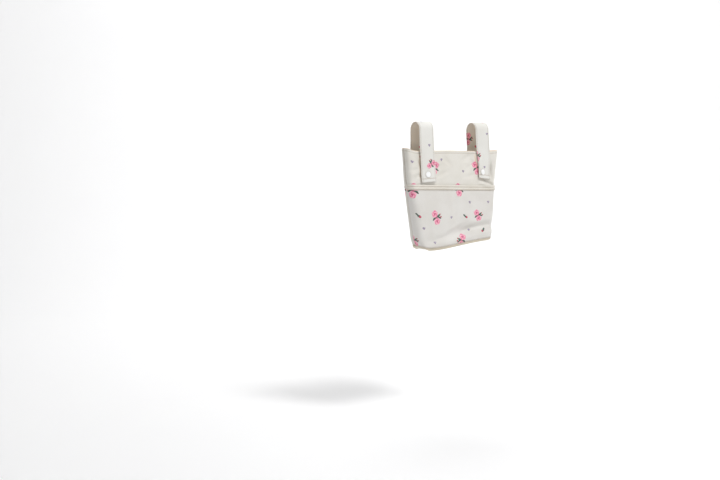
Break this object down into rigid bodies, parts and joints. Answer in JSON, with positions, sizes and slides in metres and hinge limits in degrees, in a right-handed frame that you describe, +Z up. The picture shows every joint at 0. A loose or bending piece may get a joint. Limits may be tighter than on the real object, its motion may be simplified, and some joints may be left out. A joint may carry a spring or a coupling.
{
  "type": "doll's-pram changing bag",
  "caption": "Small soft changing bag with a front patch pocket, hung from a round handlebar by straps that loop over it and close with snaps.",
  "frame": {"origin": "on the handlebar's axis, midway between the two strap loops", "axes": "+X along the handlebar to the bag's right as seen from the front, +Y from the front to the back, +Z up"},
  "size_m": [0.24, 0.0467, 0.2668],
  "materials": {
    "printed_fabric": "coated printed cotton, satin",
    "lining_fabric": "plain woven, matte",
    "interlining": "needled wadding, matte",
    "base_board": "matte",
    "piping": "satin bias-cut cotton over cord",
    "snap_plastic": "glossy"
  },
  "bodies": {
    "bag": {"front_panel": "printed_fabric", "back_panel": "printed_fabric", "front_interlining": "interlining", "back_interlining": "interlining", "front_lining": "lining_fabric", "back_lining": "lining_fabric", "front_facing": "printed_fabric", "back_facing": "printed_fabric", "pocket_panel": "printed_fabric", "pocket_lining": "lining_fabric", "pocket_band": "printed_fabric", "base_panel": "printed_fabric", "base_board": "base_board", "base_lining": "lining_fabric", "base_piping": "piping", "left_strap_tail": "printed_fabric", "right_strap_tail": "printed_fabric", "left_snap_stud": "snap_plastic", "right_snap_stud": "snap_plastic", "left_snap_stud_cap": "snap_plastic", "right_snap_stud_cap": "snap_plastic"},
    "left_loop": {"left_strap_loop": "printed_fabric"},
    "left_front": {"left_strap_front": "printed_fabric", "left_snap_cap": "snap_plastic", "left_snap_socket": "snap_plastic"},
    "right_loop": {"right_strap_loop": "printed_fabric"},
    "right_front": {"right_strap_front": "printed_fabric", "right_snap_cap": "snap_plastic", "right_snap_socket": "snap_plastic"}
  },
  "joints": [
    {"name": "left_strap_swing", "type": "hinge", "parent": "bag", "child": "left_loop", "pos_m": [-0.074, 0.0168, -0.044], "axis": [-1, 0, 0], "range_deg": [0, 150]},
    {"name": "left_strap_open", "type": "hinge", "parent": "left_loop", "child": "left_front", "pos_m": [-0.074, -0.0168, 0], "axis": [-1, 0, 0], "range_deg": [0, 150]},
    {"name": "right_strap_swing", "type": "hinge", "parent": "bag", "child": "right_loop", "pos_m": [0.074, 0.0168, -0.044], "axis": [-1, 0, 0], "range_deg": [0, 150]},
    {"name": "right_strap_open", "type": "hinge", "parent": "right_loop", "child": "right_front", "pos_m": [0.074, -0.0168, 0], "axis": [-1, 0, 0], "range_deg": [0, 150]}
  ]
}
